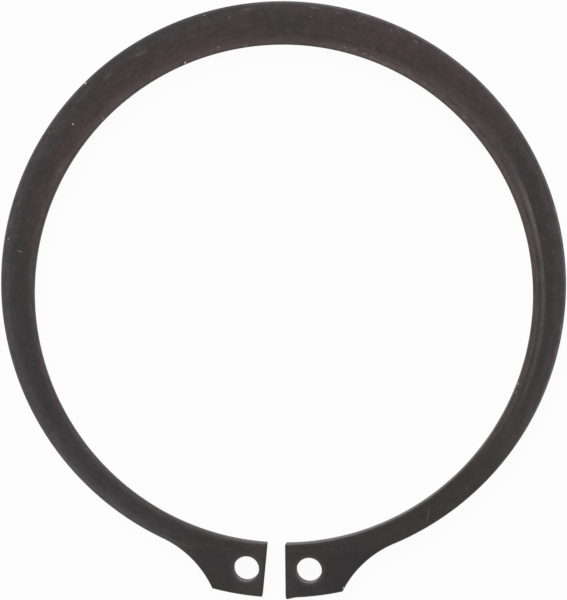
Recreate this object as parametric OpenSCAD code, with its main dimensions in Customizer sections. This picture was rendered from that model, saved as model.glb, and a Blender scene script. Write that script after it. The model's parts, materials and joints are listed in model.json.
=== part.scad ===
// External retaining ring for a shaft: one blanked piece of spring steel.
// The bore is round. The outer edge is a circle set off centre, so the ring
// tapers from its back towards the gap, where two pierced lugs take the pliers.
// The ring lies flat, with its bore on the Z axis and the gap towards -Y.

/* [Ring] */
// Inside diameter of the free, unsprung ring
bore_d = 70.5; // [40:0.5:100]
// Thickness of the strip that it is blanked from
thick = 2.5; // [1.5:0.25:4]
// Radial width at the back, opposite the gap
back_w = 6.05; // [4.5:0.05:8]
// Radial width that the taper would reach at the gap
tip_w = 3.05; // [2:0.05:4]

/* [Lugs] */
// Radial height of the lugs, from the bore to their crown
lug_h = 7.6; // [6.5:0.1:9]
// Distance between the outer corners of the two lugs
lug_span = 18.5; // [16:0.25:22]
// Radius of the lugs' crowned outer edge
crown_r = 39.6; // [25:0.2:60]
// Radius of the hollow that runs from the outer edge into each lug
root_r = 14.5; // [8:0.5:20]
// Depth by which the hollow's arc dips into the outer edge where the two meet
root_dip = 0.03; // [0.02:0.01:0.1]

/* [Plier holes] */
// Diameter of the two holes
hole_d = 3.6; // [2:0.1:4.2]
// Distance between the centres of the holes
hole_pitch = 8.9; // [8:0.1:11]
// Radial distance from the bore to the centres of the holes
hole_inset = 3.85; // [3:0.05:4.5]

/* [Gap] */
// Width of the gap at the bore
gap_w = 2.56; // [1:0.02:3.2]
// Angle between the two sides of the gap, which opens outwards
gap_taper = 6; // [0:0.5:8]
// Lean of the gap's centre line, towards -X where negative
gap_lean = -1.5; // [-3:0.1:3]
// Sideways shift of the gap from the middle of the lugs
gap_shift = -0.29; // [-0.5:0.01:0.5]

/* [Edges] */
// Width of the rolled upper edge that the blanking die leaves round the outline, on the face
roll_w = 0.34; // [0.1:0.02:0.4]
// Depth of the rolled upper edge, on the wall
roll_h = 0.26; // [0.1:0.02:0.4]
// Radius of the rolled upper edge
roll_r = 0.38; // [0.34:0.02:1.2]
// Width of the lighter roll on the two sides of the gap, on the face
gap_roll_w = 0.28; // [0.1:0.02:0.4]
// Depth of the lighter roll on the two sides of the gap, on the wall
gap_roll_h = 0.2; // [0.1:0.02:0.4]
// Leg of the bevel that breaks the lower edges, and both edges of the bore and the holes
break_w = 0.12; // [0.05:0.01:0.3]
// Height of the burr left on one lug's crown, beside the gap
burr_h = 0.2; // [0.05:0.01:0.4]
// Length of that burr along the crown
burr_l = 1.4; // [0.6:0.1:2]

/* [Hidden] */
$fa = 2;
$fs = 0.1;

// Length by which a cutter runs past the surface that it leaves
past = 0.5;

bore_r = bore_d / 2;
hole_r = hole_d / 2;
hole_y = -sqrt((bore_r + hole_inset) ^ 2 - (hole_pitch / 2) ^ 2);

// Outer circle, which gives the ring both of its widths
rim_r = bore_r + (back_w + tip_w) / 2;
rim_y = (back_w - tip_w) / 2;

// Circle of the lugs' crown, and the right lug's outer corner on it
lug_top = bore_r + lug_h;
crown_y = crown_r - lug_top;
corner = [lug_span / 2, crown_y - sqrt(crown_r ^ 2 - (lug_span / 2) ^ 2)];

// Hollow's centre, seen from the centre of the outer circle: its arc meets that circle and passes
// through the corner. root_a is its angle from the middle of the lugs.
root_reach = rim_r + root_r - root_dip;
corner_reach = norm(corner - [0, rim_y]);
corner_a = atan2(corner.x, rim_y - corner.y);
root_a = corner_a + acos((root_reach ^ 2 + corner_reach ^ 2 - root_r ^ 2) / (2 * root_reach * corner_reach));
root_side = [sin(root_a), -cos(root_a)];

// Centre of a rolled edge's arc, from the corner that the arc takes off
function roll_at(width, depth) =
    -[width, depth] / 2 - sqrt((roll_r / norm([width, depth])) ^ 2 - 1 / 4) * [depth, width];

// Side view of the bevel that breaks the lower edge of a wall at x = 0 that has its metal at x < 0
module bevel_waste() {
    polygon([[0, break_w], [-break_w, 0], [-break_w, -past], [past, -past], [past, break_w]]);
}

// The same for a wall that the die rolled at the top, and broken at the bottom
module rolled_waste(width, depth) {
    translate([0, thick]) difference() {
        translate([-width, -depth]) square([width + past, depth + past]);
        translate(roll_at(width, depth)) circle(roll_r);
    }
    bevel_waste();
}

module outer_waste() {
    rolled_waste(roll_w, roll_h);
}

// The same for a pierced wall: broken at the top and at the bottom
module pierced_waste() {
    translate([0, thick]) mirror([0, 1]) bevel_waste();
    bevel_waste();
}

// Disc with the edges of an outer wall on its rim
module edged_disc(radius) {
    rotate_extrude() difference() {
        square([radius, thick]);
        translate([radius, 0]) outer_waste();
    }
}

// Round cutter that leaves the edges of its child's side view on the wall that it makes
module edged_drill(radius) {
    rotate_extrude() {
        translate([0, -past]) square([radius, thick + 2 * past]);
        translate([radius, 0]) mirror([1, 0]) children();
    }
}

// Both lugs in one, out to their crown and hollowed at their roots
module lugs() {
    wedge = 2 * lug_top;
    difference() {
        intersection() {
            translate([0, crown_y, 0]) edged_disc(crown_r);
            translate([0, rim_y, -past]) linear_extrude(thick + 2 * past)
                polygon([[0, 0], wedge * root_side, wedge * [-root_side.x, root_side.y]]);
        }
        for (side = [-1, 1])
            translate([side * root_reach * root_side.x, rim_y + root_reach * root_side.y, 0])
                edged_drill(root_r) outer_waste();
    }
}

// Burr on the right lug's crown, highest where the gap was sheared
module burr() {
    gap_edge = gap_shift + gap_w / 2 + lug_h * tan(gap_lean + gap_taper / 2);
    start = -gap_w / 4;
    peak = burr_l / 4;
    translate([0, crown_y, 2 * break_w]) rotate([0, 0, asin(gap_edge / crown_r)])
        translate([0, -crown_r, 0]) linear_extrude(thick - roll_h - 3 * break_w)
        polygon([[start, burr_h], [start, -burr_h], [peak, -burr_h], [burr_l, 0], [burr_l, burr_h]]);
}

// Cutter for the gap: its two sides with their edges, and the room between them
module gap() {
    run = lug_h + 2 * past;
    inner = gap_w / 4;
    outer = inner + run * tan(gap_taper / 2);
    for (side = [-1, 1])
        translate([gap_shift + side * gap_w / 2, past - bore_r, 0])
            rotate([90, 0, gap_lean + side * gap_taper / 2])
            mirror([side > 0 ? 1 : 0, 0, 0])
            linear_extrude(run) {
                translate([0, -past]) square([gap_w / 2, thick + 2 * past]);
                rolled_waste(gap_roll_w, gap_roll_h);
            }
    translate([gap_shift, past - bore_r, -past]) rotate([0, 0, gap_lean])
        linear_extrude(thick + 2 * past)
        polygon([[-inner, 0], [inner, 0], [outer, -run], [-outer, -run]]);
}

module retaining_ring() {
    color([0.25, 0.23, 0.22]) difference() {
        union() {
            translate([0, rim_y, 0]) edged_disc(rim_r);
            lugs();
            burr();
        }
        edged_drill(bore_r) pierced_waste();
        for (side = [-1, 1])
            translate([side * hole_pitch / 2, hole_y, 0]) edged_drill(hole_r) pierced_waste();
        gap();
    }
}

retaining_ring();
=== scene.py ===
"""External retaining ring: the look of the part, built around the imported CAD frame."""
import json
import math
from collections import namedtuple
from types import SimpleNamespace

import bmesh
import bpy
import numpy as np
from mathutils import Matrix, Vector, noise


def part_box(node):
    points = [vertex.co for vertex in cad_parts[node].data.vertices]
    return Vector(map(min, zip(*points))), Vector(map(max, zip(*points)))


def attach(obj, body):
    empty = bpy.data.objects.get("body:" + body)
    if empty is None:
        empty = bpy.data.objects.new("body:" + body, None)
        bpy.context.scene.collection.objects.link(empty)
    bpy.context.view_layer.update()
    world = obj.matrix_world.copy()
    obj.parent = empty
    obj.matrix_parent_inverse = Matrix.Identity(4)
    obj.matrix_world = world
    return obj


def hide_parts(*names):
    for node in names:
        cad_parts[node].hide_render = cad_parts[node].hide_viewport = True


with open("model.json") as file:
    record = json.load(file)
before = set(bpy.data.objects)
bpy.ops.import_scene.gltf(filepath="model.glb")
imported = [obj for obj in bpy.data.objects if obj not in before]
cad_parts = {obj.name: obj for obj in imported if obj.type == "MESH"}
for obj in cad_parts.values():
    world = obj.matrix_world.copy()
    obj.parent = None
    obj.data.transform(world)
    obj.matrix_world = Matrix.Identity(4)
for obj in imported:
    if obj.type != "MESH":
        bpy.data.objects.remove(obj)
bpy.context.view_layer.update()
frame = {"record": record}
NODE = "retaining_ring"

# Sizes of the ring in millimetres: those that the frame gives, and the rest as in the part's source
MM = 0.001
mounts = {mount["name"]: mount for mount in frame["record"]["mounts"]}
BORE_R = mounts["shaft_bore"]["dims"]["r_mm"]
HOLE_R = mounts["plier_hole_right"]["dims"]["r_mm"]
HOLE_X, HOLE_Y = (at / MM for at in mounts["plier_hole_right"]["pos_m"][:2])
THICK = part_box(NODE)[1].z / MM
BACK_W = 6.05
TIP_W = 3.05
LUG_H = 7.6
LUG_SPAN = 18.5
CROWN_R = 39.6
ROOT_R = 14.5
GAP_W = 2.56
GAP_TAPER = 6
GAP_LEAN = -1.5
GAP_SHIFT = -0.29
ROLL_R = 0.38
BREAK_W = 0.12
BURR_H = 0.2
BURR_L = 1.4
RIM_R = BORE_R + (BACK_W + TIP_W) / 2
RIM_Y = (BACK_W - TIP_W) / 2

# Width on the face and depth on the wall of each upper edge
OUTER_EDGE = (0.34, 0.26)
GAP_EDGE = (0.28, 0.2)
PIERCED_EDGE = (BREAK_W, BREAK_W)

# Upright radii of the lugs' corners
SHARP_CORNER = 0.1
EASED_CORNER = 0.2
WORN_CORNER = 0.3

# Flat margin that keeps a face's shading level, and the inset at which a corner has closed up
MARGIN = 0.08
FULL_INSET = OUTER_EDGE[0] + MARGIN

# Fineness of the mesh: spacing along the outline, points of a corner and of a hole, rows on a rolled edge,
# and the number of points over which one edge passes into the next
STEP = 0.25
CORNER_POINTS = 9
HOLE_POINTS = 96
ROLL_ROWS = 8
EDGE_BLEND = 9

# Torn lower part of a wall: how deep it is and wavers, the heights of its rows as shares of the wall above
# the broken lower edge, and the share of the thickness at which the clean cut starts. Then how far the edges
# below and above waver, and how fine the wavering is along the wall and from row to row.
TORN_DEPTH = 0.006
TORN_ROWS = (0, 0.12, 0.26, 0.4, 0.5)
CUT_START = 0.56
BREAK_WAVER = 0.02
ROLL_WAVER = 0.25
WAVES_PER_MM = 0.9
ROWS_PER_WAVE = 6

# A run of the outline: its points with the metal on their left, its upper edge, and the corner at its end
Run = namedtuple("Run", "points edge corner")


def point(x, y):
    """A point or vector in the plane."""
    return np.array([x, y], float)


def arc(centre, start, end, turn):
    """Points along an arc about a centre, anticlockwise where turn is 1 and clockwise where it is -1."""
    to_start = start - centre
    to_end = end - centre
    first = math.atan2(to_start[1], to_start[0])
    last = math.atan2(to_end[1], to_end[0])
    sweep = (last - first) * turn % math.tau
    radius = np.linalg.norm(to_start)
    count = max(2, math.ceil(sweep * radius / STEP))
    angles = first + turn * np.linspace(0, sweep, count + 1)
    return centre + radius * np.column_stack([np.cos(angles), np.sin(angles)])


def line(start, end):
    """Points along a straight line."""
    count = max(2, math.ceil(np.linalg.norm(end - start) / STEP))
    return start + (end - start) * np.linspace(0, 1, count + 1)[:, None]


def meet(start, direction, centre, radius):
    """Where a line meets a circle on the side that it runs towards."""
    offset = start - centre
    along = offset @ direction
    return start + (math.sqrt(along**2 - offset @ offset + radius**2) - along) * direction


# Centres of the ring's circles, and on each side of the gap its direction outwards and where it meets the
# bore and the lugs' crown
SIDES = (-1, 1)
BORE_AT = point(0, 0)
RIM_AT = point(0, RIM_Y)
CROWN_AT = point(0, CROWN_R - BORE_R - LUG_H)
gap_way, gap_inner, gap_outer = {}, {}, {}
for side in SIDES:
    slant = math.radians(GAP_LEAN + side * GAP_TAPER / 2)
    flank = point(GAP_SHIFT + side * GAP_W / 2, -BORE_R)
    gap_way[side] = point(math.sin(slant), -math.cos(slant))
    gap_inner[side] = meet(flank, gap_way[side], BORE_AT, BORE_R)
    gap_outer[side] = meet(flank, gap_way[side], CROWN_AT, CROWN_R)


def outline_runs():
    """The outline in order: the gap's right side, right lug, rim, left lug, gap's left side and bore."""
    corner_y = CROWN_AT[1] - math.sqrt(CROWN_R**2 - (LUG_SPAN / 2) ** 2)
    corner = {side: point(side * LUG_SPAN / 2, corner_y) for side in SIDES}
    # Hollow at each lug's root: tangent to the rim, and through the lug's corner
    reach = RIM_R + ROOT_R
    to_corner = corner[1] - RIM_AT
    corner_reach = np.linalg.norm(to_corner)
    cosine = (reach**2 + corner_reach**2 - ROOT_R**2) / (2 * reach * corner_reach)
    root_turn = math.atan2(to_corner[0], -to_corner[1]) + math.acos(cosine)
    root = {side: point(side * math.sin(root_turn), -math.cos(root_turn)) for side in SIDES}
    hollow_at = {side: RIM_AT + reach * root[side] for side in SIDES}
    root_end = {side: RIM_AT + RIM_R * root[side] for side in SIDES}
    return [
        Run(line(gap_inner[1], gap_outer[1]), GAP_EDGE, WORN_CORNER),
        Run(arc(CROWN_AT, gap_outer[1], corner[1], 1), OUTER_EDGE, WORN_CORNER),
        Run(arc(hollow_at[1], corner[1], root_end[1], -1), OUTER_EDGE, 0),
        Run(arc(RIM_AT, root_end[1], root_end[-1], 1), OUTER_EDGE, 0),
        Run(arc(hollow_at[-1], root_end[-1], corner[-1], -1), OUTER_EDGE, SHARP_CORNER),
        Run(arc(CROWN_AT, corner[-1], gap_outer[-1], 1), OUTER_EDGE, SHARP_CORNER),
        Run(line(gap_outer[-1], gap_inner[-1]), GAP_EDGE, SHARP_CORNER),
        Run(arc(BORE_AT, gap_inner[-1], gap_inner[1], -1), PIERCED_EDGE, EASED_CORNER),
    ]


def left_of(directions):
    """The unit vectors to the left of some directions."""
    unit = directions / np.linalg.norm(directions, axis=-1, keepdims=True)
    return np.stack([-unit[..., 1], unit[..., 0]], axis=-1)


def mitre(before, after):
    """The step that insets a point by one from both of the lines that meet there, given their left sides."""
    return (before + after) / (1 + (before * after).sum(axis=-1, keepdims=True))


def cut_back(points, length):
    """A run of points shortened by a length at its end."""
    if not length:
        return points
    steps = np.linalg.norm(np.diff(points, axis=0), axis=1)
    left = np.append(np.cumsum(steps[::-1])[::-1], 0)
    keep = int(np.argmax(left <= length))
    share = (left[keep - 1] - length) / steps[keep - 1]
    return np.vstack([points[:keep], points[keep - 1] + (points[keep] - points[keep - 1]) * share])


def half_turn(run, following):
    """The tangent of half the angle by which the outline turns at the end of a run, or 0 where it runs on."""
    if not run.corner:
        return 0
    into = run.points[-1] - run.points[-2]
    out = following.points[1] - following.points[0]
    return math.tan(abs(math.atan2(into[0] * out[1] - into[1] * out[0], into @ out)) / 2)


def rounded_corner(run, following, half):
    """The points of a corner, from where its inset starts to where it ends, and their inward steps."""
    corner = run.points[-1]
    start, entry = (cut_back(run.points, size * half)[-1] for size in (FULL_INSET, run.corner))
    end, leave = (cut_back(following.points[::-1], size * half)[-1] for size in (FULL_INSET, run.corner))
    share = np.linspace(0, 1, CORNER_POINTS)[1:-1, None]
    bend = (1 - share) ** 2 * entry + 2 * share * (1 - share) * corner + share**2 * leave
    points = np.vstack([line(start, entry)[1:], bend, line(leave, end)[:-1]])
    ways = [run.points[-1] - run.points[-2], following.points[1] - following.points[0]]
    landing = corner + FULL_INSET * mitre(*left_of(np.array(ways)))
    return points, (landing - points) / FULL_INSET


def ring_loop():
    """The closed outline with rounded corners: its points, their inward steps, and the upper edge at each."""
    runs = outline_runs()
    points, steps, edges = [], [], []
    for index, run in enumerate(runs):
        previous = runs[index - 1]
        following = runs[(index + 1) % len(runs)]
        half = half_turn(run, following)
        kept = cut_back(run.points[::-1], FULL_INSET * half_turn(previous, run))[::-1]
        kept = cut_back(kept, FULL_INSET * half)
        left = left_of(np.diff(kept, axis=0))
        step = mitre(np.vstack([left[:1], left]), np.vstack([left, left[-1:]]))
        if half:
            bend, bend_step = rounded_corner(run, following, half)
            kept = np.vstack([kept, bend])
            step = np.vstack([step, bend_step])
        else:
            kept = kept[:-1]
            step = step[:-1]
        points.append(kept)
        steps.append(step)
        edges.append(np.tile(run.edge, (len(kept), 1)))
    # Each edge passes smoothly into the next one
    edges = np.vstack(edges)
    shifts = range(-(EDGE_BLEND // 2), EDGE_BLEND // 2 + 1)
    edges = sum(np.roll(edges, shift, axis=0) for shift in shifts) / EDGE_BLEND
    return np.vstack(points), np.vstack(steps), edges


def hole_loop(x):
    """A plier hole as a closed loop with the metal on its left: points, inward steps and upper edges."""
    turns = -np.linspace(0, math.tau, HOLE_POINTS, endpoint=False)
    spokes = np.column_stack([np.cos(turns), np.sin(turns)])
    return point(x, HOLE_Y) + HOLE_R * spokes, spokes, np.tile(PIERCED_EDGE, (HOLE_POINTS, 1))


def wall_rows(edges):
    """Inset and height of each row of a wall from the underside to the upper face, and how far it wavers."""
    width, depth = edges.T
    chord = np.hypot(width, depth)
    deep = np.sqrt(ROLL_R**2 - (chord / 2) ** 2)
    centre_in = width / 2 + deep * depth / chord
    centre_up = THICK - depth / 2 - deep * width / chord
    first = np.arctan2(THICK - depth - centre_up, -centre_in)
    last = np.arctan2(THICK - centre_up, width - centre_in)
    none = np.zeros(len(edges))
    rows = [(none + BREAK_W + MARGIN, none, 0), (none + BREAK_W, none, BREAK_WAVER)]
    for share in TORN_ROWS:
        rows.append((none + TORN_DEPTH, none + BREAK_W + share * (THICK - BREAK_W), TORN_DEPTH))
    rows.append((none, none + CUT_START * THICK, 0))
    for share in np.linspace(0, 1, ROLL_ROWS):
        angle = first + (last - first) * share
        inset = np.clip(centre_in + ROLL_R * np.cos(angle), 0, None)
        rows.append((inset, centre_up + ROLL_R * np.sin(angle), ROLL_WAVER * inset))
    rows.append((width + MARGIN, none + THICK, 0))
    return rows


def burr_push(points):
    """How far each point moves outwards for the burr beside the gap, on the right lug's crown."""
    spoke = (gap_outer[1] - CROWN_AT) / CROWN_R
    along = (points - gap_outer[1]) @ point(-spoke[1], spoke[0])
    below = CROWN_R - np.linalg.norm(points - CROWN_AT, axis=1)
    peak = BURR_L / 4
    falling = np.clip((BURR_L - along) / (BURR_L - peak), 0, 1)
    near = np.linalg.norm(points - gap_outer[1], axis=1) < 2 * BURR_L
    on_crown = np.clip(1 - below / FULL_INSET, 0, 1) * near * (along > -FULL_INSET)
    return BURR_H * (falling * on_crown)[:, None] * spoke


def add_wall(mesh, points, steps, edges):
    """Adds the wall that stands on a loop, with its edges."""
    push = burr_push(points)
    rows = []
    for level, (inset, heights, waver) in enumerate(wall_rows(edges)):
        spots = points * WAVES_PER_MM
        drift = np.array([noise.noise(Vector((x, y, level / ROWS_PER_WAVE))) for x, y in spots])
        inset = inset + waver * drift
        below_face = np.clip(1 - inset / FULL_INSET, 0, 1)[:, None]
        places = points + steps * inset[:, None] + push * below_face
        rows.append([mesh.verts.new((x * MM, y * MM, z * MM)) for (x, y), z in zip(places, heights)])
    for low, high in zip(rows, rows[1:]):
        for index in range(len(points)):
            mesh.faces.new([low[index - 1], high[index - 1], high[index], low[index]])


def ring_mesh():
    """The ring as one closed mesh."""
    same_point = 0.002 * MM
    same_height = 0.01 * MM
    mesh = bmesh.new()
    for loop in (ring_loop(), hole_loop(-HOLE_X), hole_loop(HOLE_X)):
        add_wall(mesh, *loop)
    bmesh.ops.remove_doubles(mesh, verts=mesh.verts, dist=same_point)
    open_edges = [edge for edge in mesh.edges if edge.is_boundary]
    for height in (0, THICK * MM):
        rim = [edge for edge in open_edges if abs(edge.verts[0].co.z - height) < same_height]
        bmesh.ops.triangle_fill(mesh, use_beauty=True, edges=rim)
    bmesh.ops.recalc_face_normals(mesh, faces=mesh.faces)
    return mesh


SHARP_ANGLE = math.radians(32)
mesh = ring_mesh()
data = bpy.data.meshes.new("ring_body")
mesh.to_mesh(data)
mesh.free()
data.shade_smooth()
data.set_sharp_from_angle(angle=SHARP_ANGLE)
ring = bpy.data.objects.new("ring_body", data)
bpy.context.scene.collection.objects.link(ring)


def srgb(red, green, blue):
    """A colour as a picture shows it, 0 to 255, as the linear colour that a shader takes."""
    linear = []
    for value in (red, green, blue):
        value /= 255
        linear.append(value / 12.92 if value <= 0.04045 else ((value + 0.055) / 1.055) ** 2.4)
    return (*linear, 1)


class Nodes:
    """Short calls for building a node tree."""

    def __init__(self, tree):
        self.tree = tree

    def add(self, kind, inputs=None, **settings):
        """A node of a kind with its settings, and its inputs set or linked by name or number."""
        node = self.tree.nodes.new("ShaderNode" + kind)
        for name, value in settings.items():
            setattr(node, name, value)
        for key, value in (inputs or {}).items():
            if isinstance(value, bpy.types.NodeSocket):
                self.tree.links.new(value, node.inputs[key])
            else:
                node.inputs[key].default_value = value
        return node

    def math(self, operation, *values):
        """The result of a Math node."""
        return self.add("Math", dict(enumerate(values)), operation=operation).outputs[0]

    def times(self, *values):
        """The product of several values."""
        product = values[0]
        for value in values[1:]:
            product = self.math("MULTIPLY", product, value)
        return product

    def plus(self, *values):
        """The sum of several values."""
        total = values[0]
        for value in values[1:]:
            total = self.math("ADD", total, value)
        return total

    def minus(self, value, other):
        """The difference of two values."""
        return self.math("SUBTRACT", value, other)

    def outside(self, level, share):
        """A level of 1 that drops by a share where another level is 1."""
        return self.minus(1, self.times(level, share))

    def fade(self, value, start, end, low=0, high=1):
        """A smooth step from one level to another as a value goes from start to end."""
        inputs = {"Value": value, "From Min": start, "From Max": end, "To Min": low, "To Max": high}
        return self.add("MapRange", inputs, interpolation_type="SMOOTHSTEP").outputs[0]

    def band(self, value, start, full, level, end):
        """A level of 1 between full and level, which fades out to start and to end."""
        return self.times(self.fade(value, start, full), self.fade(value, end, level))

    def noise(self, vector, scale, detail=3, roughness=0.6):
        """Soft noise from 0 to 1 with a mean of a half."""
        inputs = {"Vector": vector, "Scale": scale, "Detail": detail, "Roughness": roughness}
        return self.add("TexNoise", inputs).outputs["Fac"]

    def vector(self, operation, *values):
        """The vector that a Vector Math node gives."""
        return self.add("VectorMath", dict(enumerate(values)), operation=operation).outputs["Vector"]

    def measure(self, operation, *values):
        """The number that a Vector Math node gives."""
        return self.add("VectorMath", dict(enumerate(values)), operation=operation).outputs["Value"]

    def split(self, vector):
        """The three parts of a vector."""
        return self.add("SeparateXYZ", {0: vector}).outputs

    def joined(self, *parts):
        """A vector from its parts."""
        return self.add("CombineXYZ", dict(enumerate(parts))).outputs[0]

    def mix(self, factor, first, second, blend="MIX"):
        """A colour between two colours."""
        node = self.add("Mix", {0: factor, 6: first, 7: second}, data_type="RGBA", blend_type=blend)
        return node.outputs[2]


class Coat:
    """A colour that is built up in layers."""

    def __init__(self, nodes, colour):
        self.nodes = nodes
        self.colour = colour

    def lay(self, level, colour):
        """Lays a colour over what is there, as strongly as a level says."""
        self.colour = self.nodes.mix(level, self.colour, colour)


def new_material(name):
    """An empty material, and the calls that build its nodes."""
    material = bpy.data.materials.new(name)
    material.use_nodes = True
    material.node_tree.nodes.clear()
    return material, Nodes(material.node_tree)


# Zones round the ring, in degrees from the gap and positive to the right: where each starts, is full, begins
# to fade and ends
ZONES = {
    "left": (-140, -115, -36, -18),
    "right": (45, 70, 162, 180),
    "upper_left": (-180, -166, -118, -88),
    "upper_right": (118, 142, 164, 180),
    "low_left": (-74, -48, -26, -16),
    "low_right": (-18, 4, 38, 66),
    "right_root": (8, 12, 16, 26),
    "warm_side": (14, 28, 62, 84),
    "worn_side": (46, 60, 82, 95),
    "narrow_rub": (144, 156, 166, 178),
    "cool_rim": (-178, -166, -128, -116),
    "dim_rim": (-178, -168, -142, -132),
    "bright_line": (52, 104, 112, 127),
    "line_peak": (101, 109, 112, 120),
    "yellow_line": (84, 90, 96, 102),
    "dark_line": (50, 80, 150, 170),
    "haze": (110, 122, 138, 152),
    "pale_bore": (-25, 8, 60, 105),
}

# Dust, nicks and scratches on the upper face: degrees from the gap, distance from the bore, length and width,
# the mark's turn from the direction along the ring, and its strength
Mark = namedtuple("Mark", "round_ring from_bore length width turn strength")
MARKS = [
    Mark(-172.2, 5.2, 2.4, 0.55, 0, 0.05),
    Mark(-171.0, 0.2, 0.5, 0.2, 0, 0.3),
    Mark(-168.4, 4.4, 0.8, 0.26, 25, 0.1),
    Mark(-164.8, 0.7, 0.5, 0.34, 20, 0.2),
    Mark(-163.6, 5.6, 0.4, 0.24, 10, 0.45),
    Mark(-156.6, 0.15, 0.45, 0.36, 60, 0.8),
    Mark(-148.9, 4.1, 3.0, 0.7, -4, 0.06),
    Mark(-140.8, 4.2, 1.9, 0.7, 4, 0.06),
    Mark(-136.3, 5.45, 0.5, 0.4, -20, 0.8),
    Mark(-133.8, 0.1, 0.6, 0.2, 0, 0.3),
    Mark(-128.4, 2.8, 0.32, 0.28, 0, 1),
    Mark(-124.8, 4.4, 0.5, 0.3, 20, 0.1),
    Mark(-124.1, 4.8, 0.4, 0.26, 60, 0.12),
    Mark(-118.6, 0.7, 0.5, 0.34, 40, 0.1),
    Mark(-108.3, 4.1, 0.7, 0.24, 0, 0.1),
    Mark(-104.2, 4.3, 1.0, 0.2, 50, 0.06),
    Mark(-103.2, 4.0, 1.0, 0.2, 50, 0.06),
    Mark(-105.7, 2.1, 1.5, 0.2, -26, 0.06),
    Mark(-100.7, 4.2, 0.26, 0.24, 0, 0.7),
    Mark(-98.6, 2.3, 1.2, 0.26, 82, 0.2),
    Mark(-78.3, 0.8, 0.5, 0.26, 10, 0.09),
    Mark(-77.0, 1.6, 0.5, 0.26, 10, 0.08),
    Mark(-58.1, 2.6, 0.4, 0.26, 0, 0.1),
    Mark(-56.5, 3.1, 0.4, 0.26, 30, 0.12),
    Mark(-51.0, 0.0, 0.45, 0.24, 0, 0.3),
    Mark(12.8, 7.0, 0.55, 0.3, 60, 0.6),
    Mark(34.7, 1.9, 3.0, 0.32, 47, 0.065),
    Mark(44.9, 2.3, 0.5, 0.3, 45, 0.12),
    Mark(68.8, 0.3, 0.8, 0.26, 0, 0.15),
    Mark(70.2, 2.5, 0.4, 0.26, 0, 0.07),
    Mark(70.7, 0.1, 0.5, 0.26, 0, 0.6),
    Mark(100.3, 3.2, 0.5, 0.24, 60, 0.06),
    Mark(135.5, 0.6, 0.8, 0.26, 10, 0.16),
    Mark(140.2, 5.0, 0.4, 0.26, 0, 0.1),
    Mark(147.0, 0.6, 1.0, 0.26, 15, 0.1),
    Mark(151.5, 0.9, 0.7, 0.26, -25, 0.1),
    Mark(153.1, 5.0, 0.5, 0.26, -30, 0.3),
    Mark(158.6, 5.0, 0.4, 0.26, 40, 0.2),
    Mark(160.4, 0.5, 0.7, 0.3, 15, 0.14),
    Mark(162.2, 0.6, 0.9, 0.3, 10, 0.12),
    Mark(164.4, 0.8, 0.6, 0.26, 30, 0.12),
    Mark(165.4, 5.4, 0.5, 0.26, 20, 0.12),
    Mark(166.7, 0.7, 0.6, 0.3, 20, 0.14),
    Mark(168.1, 3.4, 0.6, 0.24, 85, 0.08),
    Mark(169.6, 5.2, 1.0, 0.26, 5, 0.08),
    Mark(174.5, 5.4, 2.0, 0.5, -5, 0.08),
    Mark(175.0, 4.1, 0.5, 0.28, 20, 0.14),
]


def ring_surface(n):
    """Where a point of the surface lies, in millimetres and degrees, its zones, and the noise there."""
    coordinates = n.add("TexCoord").outputs
    place = n.vector("MULTIPLY", coordinates["Object"], (1 / MM,) * 3)
    x, y, height = n.split(place)
    radius = n.math("SQRT", n.plus(n.times(x, x), n.times(y, y)))
    rim_y = n.minus(y, RIM_Y)
    rim_radius = n.math("SQRT", n.plus(n.times(x, x), n.times(rim_y, rim_y)))
    round_ring = n.math("DEGREES", n.math("ARCTAN2", x, n.times(y, -1)))
    from_gap = n.math("ABSOLUTE", round_ring)
    facing = n.split(coordinates["Normal"])[2]
    flat = n.vector("MULTIPLY", place, (1, 1, 0))
    from_holes = []
    for side in SIDES:
        from_holes.append(n.minus(n.measure("DISTANCE", flat, (side * HOLE_X, HOLE_Y, 0)), HOLE_R))
    concentric = n.joined(n.times(x, 0.2), n.times(y, 0.2), radius)
    stretched = n.joined(n.times(x, 0.7), y, n.times(radius, 1.3))
    return SimpleNamespace(
        place=place,
        x=x,
        height=height,
        from_bore=n.minus(radius, BORE_R),
        from_rim=n.minus(RIM_R, rim_radius),
        from_holes=from_holes,
        round_ring=round_ring,
        from_gap=from_gap,
        facing=facing,
        wall=n.fade(n.math("ABSOLUTE", facing), 0.75, 0.25),
        upper=n.fade(from_gap, 75, 125),
        lugs=n.fade(from_gap, 22, 14),
        zone=SimpleNamespace(**{name: n.band(round_ring, *limits) for name, limits in ZONES.items()}),
        patches=n.noise(place, 0.2, 5, 0.62),
        violet=n.noise(place, 0.28, 3, 0.55),
        breaks=n.noise(place, 0.5),
        blotches=n.noise(place, 0.6),
        clouds=n.noise(place, 0.8, 4, 0.65),
        grain=n.noise(place, 3.4),
        streaks=n.noise(concentric, 1.6),
        flecks=n.noise(stretched, 1.5, 2),
    )


def mottled_coat(n, s):
    """Neutral, brown and violet patches, warmer at the top and lower right, and paler at the lower left."""
    brown = n.times(n.fade(s.patches, 0.38, 0.62), n.outside(s.zone.left, 0.7))
    coat = Coat(n, n.mix(brown, srgb(55, 51, 53), srgb(60, 52, 51)))
    coat.lay(n.times(n.fade(s.violet, 0.5, 0.7, 0, 0.4), n.fade(s.zone.low_right, 1, 0)), srgb(54, 53, 57))
    coat.lay(n.fade(s.clouds, 0.4, 0.75, 0, 0.5), srgb(67, 59, 59))
    coat.lay(n.fade(s.from_gap, 105, 145, 0, 0.25), srgb(70, 56, 54))
    coat.lay(n.times(s.zone.low_left, 0.6), srgb(65, 60, 62))
    coat.lay(n.times(s.zone.warm_side, 0.5), srgb(58, 53, 49))
    return coat


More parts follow.
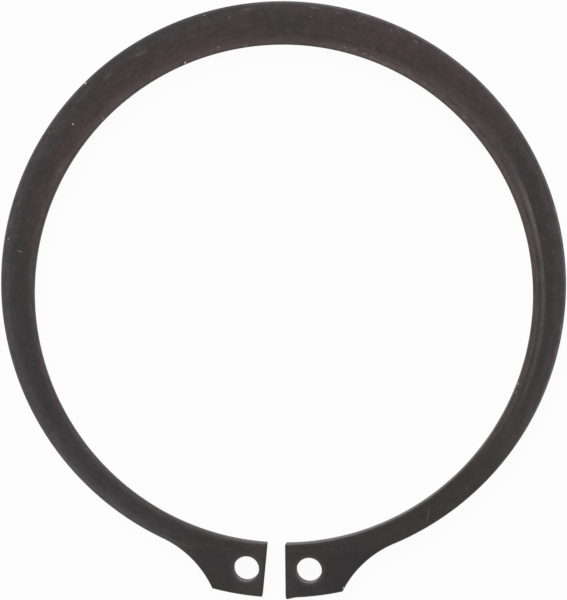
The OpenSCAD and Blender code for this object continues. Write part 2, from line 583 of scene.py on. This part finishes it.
def bore_edge_bands(n, s, coat):
    """Bands along the bore's edge: a broad, warm one at the upper left, and a narrow, lighter one all round.
    """
    warm = n.times(s.zone.upper_left, n.fade(s.from_bore, 3.4, 0.2), n.fade(s.patches, 0.3, 0.55, 0.5, 1))
    coat.lay(n.times(warm, 0.85), srgb(75, 60, 58))
    reach = n.plus(0.7, n.times(s.upper, 0.7), n.times(s.zone.right, 0.7), n.times(s.zone.narrow_rub, -0.45))
    level = n.plus(0.5, n.times(s.upper, 0.4), n.times(s.zone.right, 0.5))
    level = n.times(level, n.outside(s.zone.low_right, 0.6), n.fade(s.streaks, 0.3, 0.65, 0.7, 1.1))
    lighter_band = n.times(level, n.fade(s.from_bore, reach, 0.2))
    coat.lay(lighter_band, n.mix(s.zone.upper_right, srgb(87, 75, 74), srgb(96, 85, 85)))
    worn = n.times(s.zone.worn_side, n.fade(s.from_bore, 2.5, 1.5), n.fade(s.patches, 0.3, 0.5, 0.5, 1))
    coat.lay(n.times(worn, 0.4), srgb(73, 68, 68))


def paint_rim_light_and_shade(n, s, coat):
    """Neutral painted sheen along the rim, strongest on the left, a bluish painted highlight on its edge that
    is dim at the upper left, and painted shade on the edge there.
    """
    # Painted sheen: a neutral band along the rim
    level = n.plus(0.5, n.times(s.zone.left, 0.35), n.times(s.zone.right, 0.1))
    level = n.times(level, n.outside(s.zone.low_right, 0.8), n.fade(s.from_gap, 16, 30))
    level = n.times(level, n.fade(s.streaks, 0.3, 0.65, 0.75, 1.15))
    neutral = n.mix(s.zone.left, srgb(82, 74, 73), srgb(80, 75, 77))
    coat.lay(n.times(level, n.fade(s.from_rim, 2.2, 0.3)), neutral)
    # Painted highlight on the rolled outer edge: bluish, brighter at the right, weaker at the upper left
    edge = n.fade(s.from_rim, 0.45, 0.15)
    bluish_highlight = n.times(edge, n.fade(s.from_gap, 40, 75), n.fade(s.clouds, 0.3, 0.6, 0.3, 1))
    bluish_highlight = n.times(bluish_highlight, n.fade(s.zone.dim_rim, 0, 1, 0.8, 0.2))
    coat.lay(bluish_highlight, n.mix(s.zone.right, srgb(84, 83, 92), srgb(114, 112, 127)))
    # Painted highlight along the rim's edge at the lower left
    coat.lay(n.times(s.zone.low_left, n.fade(s.from_rim, 0.9, 0.3), 0.5), srgb(98, 95, 96))
    coat.lay(n.times(s.zone.cool_rim, n.fade(s.from_rim, 1.6, 0.8), 0.25), srgb(52, 55, 66))
    # Painted shade on the rim's edge at the upper left
    coat.lay(n.times(s.zone.dim_rim, edge, 0.7), srgb(50, 48, 54))


def rub_right_side(n, s, coat):
    """Bright line rubbed into the right side, a haze above it, and finer lines between it and the bore."""
    shine = n.plus(n.times(s.zone.bright_line, 0.68), n.times(s.zone.line_peak, 0.4))
    shine = n.times(shine, n.fade(s.breaks, 0.3, 0.6, 0.6, 1))
    from_line = n.minus(s.from_bore, n.fade(s.round_ring, 98, 124, 1.42, 1.78))
    bright = n.times(shine, n.band(from_line, -0.55, 0, 0.06, 0.42))
    coat.lay(bright, n.mix(s.zone.yellow_line, srgb(104, 98, 99), srgb(103, 99, 95)))
    coat.lay(n.times(s.zone.haze, n.band(s.from_bore, 0.9, 1.3, 1.9, 2.9), 0.4), srgb(84, 79, 79))
    coat.lay(n.times(s.zone.right, n.band(s.from_bore, 0.46, 0.56, 0.64, 0.76), 0.3), srgb(98, 88, 88))
    coat.lay(n.times(s.zone.dark_line, n.band(s.from_bore, 0.7, 0.9, 1.0, 1.25), 0.45), srgb(56, 51, 51))


def stains_and_painted_shade_on_top(n, s, coat):
    """Stains in the upper part, a reddish tinge and pale flecks at its right, and painted shade along the
    bore's edge.
    """
    coat.lay(n.times(s.zone.upper_right, 0.22), srgb(72, 59, 58))
    stained = n.plus(n.times(s.upper, 0.35), n.times(s.zone.upper_right, 0.2))
    coat.lay(n.times(stained, n.fade(s.blotches, 0.54, 0.68)), srgb(84, 64, 63))
    coat.lay(n.times(stained, n.fade(s.blotches, 0.46, 0.32)), srgb(74, 70, 60))
    near_edge = n.math("MAXIMUM", n.fade(s.from_bore, 1.7, 0.8), n.fade(s.from_rim, 1.6, 0.6))
    coat.lay(n.times(s.zone.upper_right, near_edge, n.fade(s.flecks, 0.57, 0.68), 0.45), srgb(110, 97, 96))
    # Painted shade: a dark line along the bore's edge in the upper part
    coat.lay(n.times(s.upper, n.band(s.from_bore, -0.2, -0.05, 0.1, 0.24), 0.35), srgb(52, 46, 46))


def tone_coat(n, s, coat):
    """Fine tone of streaks and grain over the whole coat, darker towards the lugs."""
    tone = n.plus(n.fade(s.streaks, 0.25, 0.75, 0.88, 1.12), n.fade(s.grain, 0.2, 0.8, -0.19, 0.19))
    tone = n.times(tone, n.fade(s.from_gap, 25, 70, 0.96, 1.02))
    grey = n.add("CombineColor", {0: tone, 1: tone, 2: tone}).outputs[0]
    coat.colour = n.mix(1, coat.colour, grey, "MULTIPLY")


def lug_wear_and_painted_shade(n, s, coat):
    """Painted shade on the rolled edges along the gap, lighter metal by the gap and round the holes, and a
    darker right root.
    """
    # Painted shade: the rolled edges along the gap are darkened as though they mirrored a dark surround
    for side in SIDES:
        into_metal = Vector((*(side * left_of(gap_way[side])), 0))
        depth = n.measure("DOT_PRODUCT", s.place, into_metal)
        depth = n.minus(depth, into_metal.dot(Vector((*gap_inner[side], 0))))
        coat.lay(n.times(s.lugs, n.band(depth, -0.1, 0, 0.2, 0.42), 0.7), srgb(42, 42, 43))
    coat.lay(n.times(s.lugs, n.band(s.x, -7, -3, 0, 3.5), 0.4), srgb(77, 70, 67))
    coat.lay(n.times(s.zone.right_root, n.fade(s.from_bore, 1, 3), 0.5), srgb(46, 42, 44))
    for from_hole in s.from_holes:
        coat.lay(n.fade(from_hole, 0.7, 0.1, 0, 0.5), srgb(84, 78, 80))


def marked(n, place, mark):
    """How strongly a mark shows at a place."""
    turn = math.radians(mark.round_ring)
    spoke = Vector((math.sin(turn), -math.cos(turn), 0))
    along = Matrix.Rotation(turn + math.radians(mark.turn), 3, "Z") @ Vector((1, 0, 0))
    across = Vector((-along.y, along.x, 0))
    offset = n.vector("SUBTRACT", place, spoke * (BORE_R + mark.from_bore))
    lengthwise = n.measure("DOT_PRODUCT", offset, along * (2 / mark.length))
    crosswise = n.measure("DOT_PRODUCT", offset, across * (2 / mark.width))
    reach = n.measure("LENGTH", n.joined(lengthwise, crosswise))
    return n.fade(reach, 1, 0.35, 0, mark.strength)


def mark_face(n, s, coat):
    """Dust, nicks and scratches on what faces up."""
    dust = 0
    for mark in MARKS:
        dust = n.math("MAXIMUM", dust, marked(n, s.place, mark))
    coat.lay(n.times(dust, n.fade(s.facing, 0.2, 0.6)), srgb(215, 210, 208))


def sheared_walls_with_painted_light(n, s, coat):
    """Sheared walls: dark, and paler towards their foot, with light painted on them at the bore's lower right
    and in the holes.
    """
    sheared = n.mix(n.fade(s.height, 1.9, 0.3), srgb(58, 55, 56), srgb(100, 96, 98))
    # Painted light: the bore's wall at the lower right is painted pale as though lit
    pale = n.times(s.zone.pale_bore, n.fade(s.from_bore, 0.5, 0.2))
    coat.lay(s.wall, n.mix(pale, sheared, srgb(110, 107, 109)))
    # Painted light: the holes' walls are painted pale as though lit
    for from_hole in s.from_holes:
        coat.lay(n.times(s.wall, n.fade(from_hole, 0.3, 0.2)), srgb(150, 143, 149))


def steel_material():
    """Phosphated and oiled spring steel: brown-black and satin, mottled, rubbed, worn and dusty, with painted
    sheen, highlights and shade on its edges and painted light on its walls.
    """
    material, n = new_material("phosphated_steel")
    surface = ring_surface(n)
    coat = mottled_coat(n, surface)
    bore_edge_bands(n, surface, coat)
    paint_rim_light_and_shade(n, surface, coat)
    rub_right_side(n, surface, coat)
    stains_and_painted_shade_on_top(n, surface, coat)
    tone_coat(n, surface, coat)
    lug_wear_and_painted_shade(n, surface, coat)
    mark_face(n, surface, coat)
    sheared_walls_with_painted_light(n, surface, coat)
    relief = n.plus(n.times(surface.grain, 0.6), n.times(surface.streaks, 0.4))
    bump = n.add("Bump", {"Height": relief, "Strength": 0.15, "Distance": 0.02 * MM}).outputs[0]
    rough = n.plus(n.fade(surface.clouds, 0.3, 0.7, 0.42, 0.55), n.times(surface.wall, 0.4))
    shader = n.add("BsdfPrincipled", {"Base Color": coat.colour, "Roughness": rough, "Normal": bump})
    shader.inputs["Specular IOR Level"].default_value = 0.4
    n.add("OutputMaterial", {"Surface": shader.outputs[0]})
    return material


data.materials.append(steel_material())
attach(ring, "root")
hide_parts(NODE)

WHITE = (1, 1, 1, 1)


def seen_directly(n):
    """Level of 1 for what the camera sees, also by reflection or through glass."""
    path = n.add("LightPath").outputs
    seen = n.math("MAXIMUM", path["Is Camera Ray"], path["Is Glossy Ray"])
    return n.math("MAXIMUM", seen, path["Is Transmission Ray"])


def floor_material():
    """White studio floor that keeps a soft shadow."""
    material, n = new_material("studio_floor")
    plain = n.add("BsdfDiffuse", {"Color": (0.85, 0.85, 0.85, 1)}).outputs[0]
    white = n.add("Emission", {"Color": WHITE, "Strength": 1}).outputs[0]
    share = n.times(seen_directly(n), 0.95)
    surface = n.add("MixShader", {0: share, 1: plain, 2: white}).outputs[0]
    n.add("OutputMaterial", {"Surface": surface})
    return material


# Floor a hair under the ring, large enough to fill the low views
bpy.ops.mesh.primitive_plane_add(size=6, location=(0, 0, -0.01 * MM))
floor = bpy.context.object
floor.name = "studio_floor"
floor.data.materials.append(floor_material())


def studio_world():
    """Surroundings: white to the camera, and as light darker overhead than at the sides."""
    world = bpy.data.worlds.new("studio")
    world.use_nodes = True
    world.node_tree.nodes.clear()
    n = Nodes(world.node_tree)
    up = n.split(n.add("TexCoord").outputs["Generated"])[2]
    level = n.fade(up, 0.2, 0.95, 0.85, 0.35)
    sky = n.add("Background", {"Color": WHITE, "Strength": level}).outputs[0]
    white = n.add("Background", {"Color": WHITE, "Strength": 1}).outputs[0]
    camera_ray = n.add("LightPath").outputs["Is Camera Ray"]
    surround = n.add("MixShader", {0: camera_ray, 1: sky, 2: white}).outputs[0]
    n.add("OutputWorld", {"Surface": surround})
    return world


bpy.context.scene.world = studio_world()


def place_facing(name, contents, at, back, right):
    """A light or camera at a place, with its back and its right side turned to these directions."""
    right = (right - right.dot(back) * back).normalized()
    turn = Matrix((right, back.cross(right), back)).transposed()
    placed = bpy.data.objects.new(name, contents)
    bpy.context.scene.collection.objects.link(placed)
    placed.matrix_world = Matrix.Translation(at) @ turn.to_4x4()
    return placed


# Large soft key light from the back of the ring, a little to the left
KEY_AT = Vector((-0.35, 0.75, 0.65))
key = bpy.data.lights.new("key", "AREA")
key.shape = "RECTANGLE"
key.size = 0.9
key.size_y = 0.5
key.energy = 5
place_facing("key", key, KEY_AT, KEY_AT.normalized(), Vector((0, 1, 0)).cross(KEY_AT))

# Camera over the ring: its scale and distance at the upper face, its lean off the vertical, the ring's turn
# in the picture, and where in the picture the bore's centre is, in pixels
IMAGE_W, IMAGE_H = 567, 600
PIXELS_PER_MM = 7.112
DISTANCE = 435.3
LEAN = Vector((0.0569, 0.0696))
TURN = math.radians(-1.125)
CENTRE_X, CENTRE_Y = 281.83, 296.08
camera_data = bpy.data.cameras.new("camera")
camera_data.sensor_fit = "VERTICAL"
camera_data.sensor_height = 24
camera_data.lens = PIXELS_PER_MM * DISTANCE / IMAGE_H * camera_data.sensor_height
camera_data.shift_x = (IMAGE_W / 2 - CENTRE_X) / IMAGE_H
camera_data.shift_y = (CENTRE_Y - IMAGE_H / 2) / IMAGE_H
camera_data.clip_start = 0.01
to_part = Matrix.Rotation(-TURN, 3, "Z")
back = to_part @ Vector((*LEAN, math.sqrt(1 - LEAN.length_squared)))
eye = (Vector((0, 0, THICK)) + back * DISTANCE) * MM
camera = place_facing("camera", camera_data, eye, back, to_part @ Vector((1, 0, 0)))
bpy.context.scene.camera = camera
bpy.context.scene.view_settings.view_transform = "Standard"
